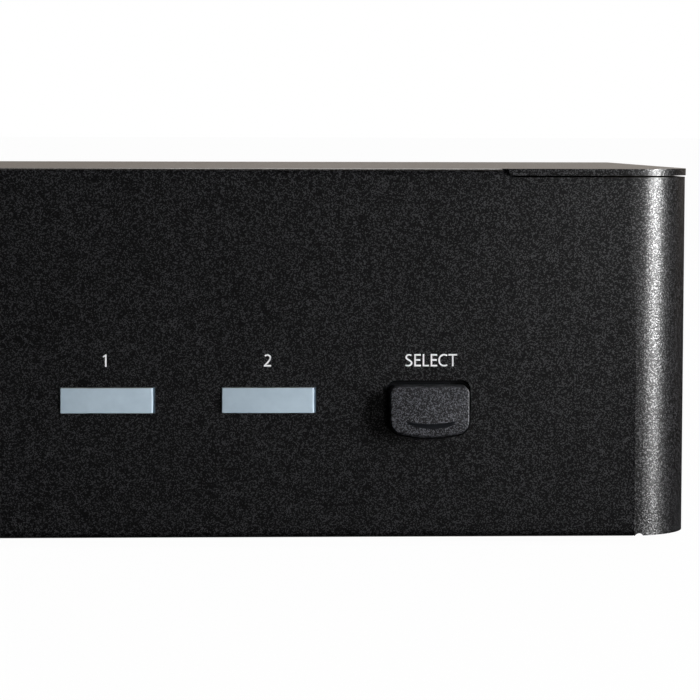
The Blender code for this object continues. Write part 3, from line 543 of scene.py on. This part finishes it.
def thumb_ridge():
    """A smile-shaped ridge: a short upper side, a crest, and a long smooth slope back to the face below."""
    form = bmesh.new()
    rings = []
    for station in range(RIDGE_STATIONS + 1):
        t = 2 * station / RIDGE_STATIONS - 1
        rise = RIDGE_PROUD * min(1, (1.03 - t) / RIDGE_RIGHT_END, (1.03 + t) / RIDGE_LEFT_END)
        x = CAP_X + RIDGE_SHIFT + RIDGE_HALF * t
        z = CAP_TOP - RIDGE_TOP + RIDGE_SAG * t * t
        low_z = z - RIDGE_TALL * max(RIDGE_LEAST, 1 - (t**6 if t > 0 else t * t)) ** 0.5
        crest = z - RIDGE_CREST
        root = CAP_FACE + RIDGE_ROOT
        section = (
            (root, z),
            (CAP_FACE, z),
            (CAP_FACE - rise, crest),
            (CAP_FACE - 0.85 * rise, crest - RIDGE_FLAT),
            (CAP_FACE, low_z),
            (root, low_z),
        )
        rings.append([form.verts.new((x, y, height)) for y, height in section])
    for first, second in zip(rings, rings[1:]):
        for i in range(6):
            form.faces.new((first[i], second[i], second[(i + 1) % 6], first[(i + 1) % 6]))
    form.faces.new(rings[0])
    form.faces.new(rings[-1][::-1])
    bmesh.ops.recalc_face_normals(form, faces=form.faces)
    return add("ridge", mesh_of(form, "ridge"), RIDGE_SMOOTH)


def select_cap():
    """The cap, rounded round its face and more along its chin, with a thumb ridge near its foot."""
    form = bmesh.new()
    middle_z = CAP_TOP - CAP_DROP / 2
    rings = []
    back = FRONT + SHEET + CAP_ROOT
    rings.append([form.verts.new((point.x, back, point.y)) for point in cap_outline(CAP_GROW, CAP_BROW)])
    for i in range(CAP_RINGS + 1):
        angle = math.pi / 2 * i / CAP_RINGS
        inset, fall = CAP_ROUND * (1 - math.cos(angle)), CAP_ROUND * (1 - math.sin(angle))
        ring = []
        for point in cap_outline(CAP_GROW - inset, CAP_BROW):
            chin = max(0, (middle_z - point.y) / (CAP_DROP / 2)) ** 2
            lift = CAP_CHIN * chin * inset / CAP_ROUND
            ring.append(form.verts.new((point.x, CAP_FACE + fall * (1 + CHIN_FALL * chin), point.y + lift)))
        rings.append(ring)
    count = len(rings[0])
    for first, second in zip(rings, rings[1:]):
        for i in range(count):
            j = (i + 1) % count
            form.faces.new((first[i], first[j], second[j], second[i]))
    form.faces.new(rings[0][::-1])
    form.faces.new(rings[-1])
    bmesh.ops.recalc_face_normals(form, faces=form.faces)
    cap = add("select_cap", mesh_of(form, "select_cap"), CAP_PLASTIC)
    ridge = thumb_ridge()
    combine(cap, "UNION", ridge)
    cap.modifiers[0].material_mode = "TRANSFER"
    settle(cap, ridge)
    cap.data.shade_smooth()
    cap.data.set_sharp_from_angle(angle=math.radians(32))

    lip_y = FRONT + SHEET + LIP_GAP
    # The lip, seen only through the gap round the cap, wears the darker copy of the cap's plastic as painted
    # shade.
    lip = prism("select_cap_lip", cap_outline(CAP_LIP), lip_y, lip_y + LIP_THICKNESS, "Y", SMOOTH_SHADED_LIP)
    plunger_low, plunger_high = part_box("key_switch_plunger")
    centre = (plunger_low + plunger_high) / 2
    radius = (plunger_high.x - plunger_low.x) / 2
    post_middle = (CAP_X, (lip_y + cap_high.y) / 2, centre.z)
    post = rods("select_cap_post", [post_middle], radius, cap_high.y - lip_y, "Y", CAP_PLASTIC)
    for piece in (cap, lip, post):
        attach(piece, "select_button")
    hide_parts("select_button")


# ------------------------------------------------------------------------------------------------- labels

LABEL_BASE = 30.22 * MM
LABEL_HEIGHT = 2.2 * MM
STROKE = 0.135
INK_PROUD = 0.02 * MM
INK_LAYER = 0.001 * MM
LABELS = (
    ("1", -0.35 * MM, WINDOWS[0]),
    ("2", -0.14 * MM, WINDOWS[1]),
    ("SELECT", 0.37 * MM, (cap_low, cap_high)),
)

# Each letter in capital heights: its room on the left, its width, its room on the right, and its strokes.
# A stroke of two points is straight, and a longer one is a smooth curve through its points.
LETTERS = {
    "1": (0, 0.32, 0, [[(0.03, 0.79), (0.25, 0.93)], [(0.25, 0), (0.25, 1)]]),
    "2": (
        0,
        0.61,
        0,
        [
            [
                (0.09, 0.86),
                (0.29, 0.935),
                (0.47, 0.87),
                (0.53, 0.71),
                (0.45, 0.51),
                (0.27, 0.28),
                (0.08, 0.08),
            ],
            [(0.02, 0.07), (0.6, 0.07)],
        ],
    ),
    "S": (
        0,
        0.6,
        0.05,
        [
            [
                (0.5, 0.88),
                (0.35, 0.935),
                (0.17, 0.89),
                (0.09, 0.74),
                (0.17, 0.6),
                (0.4, 0.46),
                (0.52, 0.29),
                (0.43, 0.12),
                (0.24, 0.065),
                (0.03, 0.11),
            ]
        ],
    ),
    "E": (
        0.08,
        0.54,
        0.055,
        [
            [(0.07, 0), (0.07, 1)],
            [(0.07, 0.93), (0.53, 0.93)],
            [(0.07, 0.52), (0.49, 0.52)],
            [(0.07, 0.07), (0.54, 0.07)],
        ],
    ),
    "L": (0.08, 0.51, 0.05, [[(0.07, 0), (0.07, 1)], [(0.07, 0.07), (0.51, 0.07)]]),
    "C": (
        0.02,
        0.74,
        0.05,
        [
            [
                (0.72, 0.87),
                (0.54, 0.935),
                (0.33, 0.91),
                (0.14, 0.76),
                (0.07, 0.5),
                (0.14, 0.24),
                (0.33, 0.09),
                (0.54, 0.065),
                (0.73, 0.12),
            ]
        ],
    ),
    "T": (0.025, 0.7, 0, [[(0, 0.93), (0.7, 0.93)], [(0.35, 0), (0.35, 1)]]),
}


def smooth(points, steps=6):
    """A Catmull-Rom curve through the points."""
    points = [Vector(point) for point in points]
    if len(points) == 2:
        return points
    ends = [2 * points[0] - points[1], *points, 2 * points[-1] - points[-2]]
    line = []
    for a, b, c, d in zip(ends, ends[1:], ends[2:], ends[3:]):
        for step in range(steps):
            t = step / steps
            cubic, square = -a + 3 * b - 3 * c + d, 2 * a - 5 * b + 4 * c - d
            line.append((cubic * t**3 + square * t**2 + (c - a) * t) / 2 + b)
    return line + [points[-1]]


def ribbon(form, line, depth):
    """A flat stroke of ink along a line, standing the given depth proud of the sheet."""
    rows = []
    for i, point in enumerate(line):
        along = (line[min(i + 1, len(line) - 1)] - line[max(i - 1, 0)]).normalized()
        aside = Vector((-along.y, along.x)) * STROKE / 2 * LABEL_HEIGHT
        edges = (point * LABEL_HEIGHT + aside, point * LABEL_HEIGHT - aside)
        rows.append([form.verts.new((edge.x, out, edge.y)) for edge in edges for out in (0, -depth)])
    for first, second in zip(rows, rows[1:]):
        for i, j in ((0, 1), (1, 3), (3, 2), (2, 0)):
            form.faces.new((first[i], first[j], second[j], second[i]))
    for row in (rows[0], rows[-1]):
        form.faces.new([row[i] for i in (0, 1, 3, 2)])


def labels():
    for text, shift, (low, high) in LABELS:
        form = bmesh.new()
        pen, layer = 0, 0
        for letter in text:
            left, width, right, strokes = LETTERS[letter]
            pen += left
            for points in strokes:
                line = [point + Vector((pen, 0)) for point in smooth(points)]
                ribbon(form, line, INK_PROUD + layer * INK_LAYER)
                layer += 1
            pen += width + right
        bmesh.ops.recalc_face_normals(form, faces=form.faces)
        label = add(f"label_{text.lower()}", mesh_of(form, f"label_{text.lower()}"), INK)
        start = (low.x + high.x) / 2 + shift - pen * LABEL_HEIGHT / 2
        label.data.transform(Matrix.Translation((start, FRONT, BOTTOM + LABEL_BASE)))
        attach(label, "case")


# -------------------------------------------------------------------------------------- feet and fasteners


def turned(name, profile, foot, axis, finish, sides=40):
    """A profile of (radius, height) points spun round an axis; the points run down its outer side."""
    form = bmesh.new()
    points = [form.verts.new((radius, 0, height)) for radius, height in profile]
    edges = [form.edges.new(pair) for pair in zip(points, points[1:])]
    bmesh.ops.spin(
        form, geom=points + edges, axis=(0, 0, 1), cent=(0, 0, 0), angle=math.tau, steps=sides, use_merge=True
    )
    bmesh.ops.remove_doubles(form, verts=form.verts, dist=0.002 * MM)
    bmesh.ops.recalc_face_normals(form, faces=form.faces)
    obj = add(name, mesh_of(form, name), finish)
    turn = Vector((0, 0, 1)).rotation_difference(Vector(axis)).to_matrix().to_4x4()
    obj.data.transform(Matrix.Translation(foot) @ turn)
    return obj


def arc(centre, radius, start, end, steps=8):
    angles = [math.radians(start + (end - start) * i / steps) for i in range(steps + 1)]
    return [(centre[0] + radius * math.cos(a), centre[1] + radius * math.sin(a)) for a in angles]


def feet():
    for number in (1, 2, 3, 4):
        low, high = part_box(f"foot_{number}")
        radius, height = (high.x - low.x) / 2, high.z - low.z
        edge = 0.8 * MM
        dish = 0.7 * radius
        profile = [(0, height), (radius, height)]
        profile += arc((radius - edge, edge), edge, 0, -90)
        profile += [(dish, 0), (dish - 0.4 * MM, 0.4 * MM), (0, 0.45 * MM)]
        base = ((low.x + high.x) / 2, (low.y + high.y) / 2, low.z)
        foot = turned(f"rubber_foot_{number}", profile, base, (0, 0, 1), RUBBER)
        foot.data.shade_smooth()
        foot.data.set_sharp_from_angle(angle=math.radians(35))
        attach(foot, "case")
        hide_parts(f"foot_{number}")


HEAD_RADIUS = 2.75 * MM
HEAD_HEIGHT = 1.6 * MM
SHANK_RADIUS = 1.25 * MM
SLOT_REACH = 1.35 * MM
SLOT_HALF = 0.24 * MM
SLOT_DEPTH = 0.9 * MM


def screws():
    """Cross-recessed pan-head screws on every seat of the frame."""
    seats = {}
    for number, (low, high) in enumerate(SCREWS, 1):
        side = 1 if low.x > 0 else -1
        seats[f"cover_screw_{number}"] = ((side, 0, 0), low, high)
    for number in (1, 2):
        seats[f"front_board_screw_{number}"] = ((0, 1, 0), *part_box(f"front_board_screw_{number}"))
    for number in (1, 2, 3, 4):
        seats[f"video_board_screw_{number}"] = ((0, 0, 1), *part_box(f"video_board_screw_{number}"))
    for name, (axis, low, high) in seats.items():
        axis = Vector(axis)
        length = abs((high - low).dot(axis))
        centre = (low + high) / 2
        seat = centre + axis * (length / 2 - HEAD_HEIGHT)
        shank = HEAD_HEIGHT - length
        crown = arc((0, -1.6 * MM), 3.2 * MM, 90, 58, 6)
        profile = crown + [(HEAD_RADIUS - 0.35 * MM, 0.75 * MM), (HEAD_RADIUS, 0.3 * MM), (HEAD_RADIUS, 0)]
        profile += [(SHANK_RADIUS, 0), (SHANK_RADIUS, shank), (0, shank)]
        piece = turned(f"{name}_head", profile, seat, axis, DARK_STEEL)
        aside = Vector((0, 1, 0)) if abs(axis.x) > 0.5 or abs(axis.z) > 0.5 else Vector((1, 0, 0))
        other = axis.cross(aside)
        slots = []
        for along, across in ((aside, other), (other, aside)):
            sizes = ((along, SLOT_REACH), (across, SLOT_HALF), (axis, SLOT_DEPTH))
            reach = [sum(abs(way[i]) * size for way, size in sizes) for i in range(3)]
            middle = seat + axis * (HEAD_HEIGHT + 0.1 * MM)
            slots.append(blocks("slot", [(middle - Vector(reach), middle + Vector(reach))]))
        combine(piece, "DIFFERENCE", *slots)
        settle(piece, *slots)
        piece.data.shade_smooth()
        piece.data.set_sharp_from_angle(angle=math.radians(30))
        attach(piece, "case")
        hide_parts(name)


cover_shell()
light_guides()
select_cap()
labels()
feet()
screws()


# ------------------------------------------------------------------------------------------ camera, stage

CAMERA_LEFT = 85.93 * MM
CAMERA_AWAY = 519.05 * MM
CAMERA_UP = 71.35 * MM
YAW, PITCH, ROLL = 0.0486, 0.0734, 0.0025
LENS_MM = 152.41
DIM = (0.01, 0.0105, 0.0125)
HIGH_BACKDROP = (0.34, 0.29, 0.235)
BACKDROP = (0.42, 0.36, 0.31)
CORNER = (SIDE, FRONT, (BOTTOM + TOP) / 2)


def camera():
    data = bpy.data.cameras.new("camera")
    data.sensor_width = 36
    data.lens = LENS_MM
    data.clip_start = 0.01
    obj = bpy.data.objects.new("camera", data)
    bpy.context.scene.collection.objects.link(obj)
    forward = Vector((math.sin(YAW) * math.cos(PITCH), math.cos(YAW) * math.cos(PITCH), -math.sin(PITCH)))
    right = Vector((math.cos(YAW), -math.sin(YAW), 0))
    up = right.cross(forward)
    rolled = math.cos(ROLL) * right + math.sin(ROLL) * up
    risen = math.cos(ROLL) * up - math.sin(ROLL) * right
    turn = Matrix((rolled, risen, -forward)).transposed().to_4x4()
    place = Matrix.Translation((SIDE - CAMERA_LEFT, FRONT - CAMERA_AWAY, BOTTOM + CAMERA_UP))
    obj.matrix_world = place @ turn
    bpy.context.scene.camera = obj


def softbox(name, aim, azimuth, elevation, distance, size, radiance):
    """An area light that faces the aim point, its azimuth counted from the front towards the right."""
    data = bpy.data.lights.new(name, "AREA")
    data.shape = "RECTANGLE"
    data.size, data.size_y = size
    data.energy = radiance * math.pi * size[0] * size[1]
    obj = bpy.data.objects.new(name, data)
    bpy.context.scene.collection.objects.link(obj)
    turn, rise = math.radians(azimuth), math.radians(elevation)
    away = Vector((math.sin(turn) * math.cos(rise), -math.cos(turn) * math.cos(rise), math.sin(rise)))
    obj.location = Vector(aim) + away * distance
    obj.rotation_euler = away.to_track_quat("Z", "Y").to_euler()


def floor():
    form = bmesh.new()
    bmesh.ops.create_grid(form, x_segments=1, y_segments=1, size=40)
    obj = add("floor", mesh_of(form, "floor"))
    made, tree, shader = material("floor_white")
    shader.inputs["Roughness"].default_value = 0.9
    shader.inputs["Specular IOR Level"].default_value = 0.0
    tone = ramp(tree, noise(tree, 3), [(0.3, (0.02, 0.02, 0.02)), (0.7, (0.022, 0.022, 0.022))])
    tree.links.new(tone, shader.inputs["Base Color"])
    glow = node(tree, "ShaderNodeEmission", Color=(1, 1, 1, 1), Strength=0.98)
    seen = tree.nodes.new("ShaderNodeAddShader")
    tree.links.new(shader.outputs["BSDF"], seen.inputs[0])
    tree.links.new(glow.outputs["Emission"], seen.inputs[1])
    path = tree.nodes.new("ShaderNodeLightPath")
    mix = tree.nodes.new("ShaderNodeMixShader")
    tree.links.new(path.outputs["Is Camera Ray"], mix.inputs["Fac"])
    tree.links.new(shader.outputs["BSDF"], mix.inputs[1])
    tree.links.new(seen.outputs["Shader"], mix.inputs[2])
    tree.links.new(mix.outputs["Shader"], tree.nodes["Material Output"].inputs["Surface"])
    obj.data.materials.append(made)


def studio():
    """A white surround to the eye, which lights the case only dimly, and brighter from behind."""
    world = bpy.data.worlds.new("studio")
    world.use_nodes = True
    bpy.context.scene.world = world
    tree = world.node_tree
    seen = tree.nodes["Background"]
    seen.inputs["Color"].default_value = (1, 1, 1, 1)
    place = tree.nodes.new("ShaderNodeTexCoord")
    apart = tree.nodes.new("ShaderNodeSeparateXYZ")
    tree.links.new(place.outputs["Generated"], apart.inputs["Vector"])
    tone = ramp(tree, apart.outputs["Y"], [(0.15, DIM), (0.5, HIGH_BACKDROP), (0.97, BACKDROP)])
    lighting = tree.nodes.new("ShaderNodeBackground")
    tree.links.new(tone, lighting.inputs["Color"])
    path = tree.nodes.new("ShaderNodeLightPath")
    mix = tree.nodes.new("ShaderNodeMixShader")
    tree.links.new(path.outputs["Is Camera Ray"], mix.inputs["Fac"])
    tree.links.new(lighting.outputs["Background"], mix.inputs[1])
    tree.links.new(seen.outputs["Background"], mix.inputs[2])
    tree.links.new(mix.outputs["Shader"], tree.nodes["World Output"].inputs["Surface"])
    bpy.context.scene.view_settings.view_transform = "Standard"


camera()
floor()
studio()
softbox("key_softbox", CORNER, 58, 12, 1.3, (0.37, 0.8), 36)
softbox("side_softbox", CORNER, 84, 16, 1.3, (0.6, 0.8), 0.15)
softbox("front_softbox", CORNER, 19, 0.5, 1.3, (0.24, 0.1), 5.4)
softbox("rear_softbox", (0, BACK, TOP), 160, 40, 1.2, (0.8, 0.5), 2.5)
softbox("left_softbox", (-SIDE, 0, TOP), 260, 30, 1.2, (0.7, 0.5), 0.6)
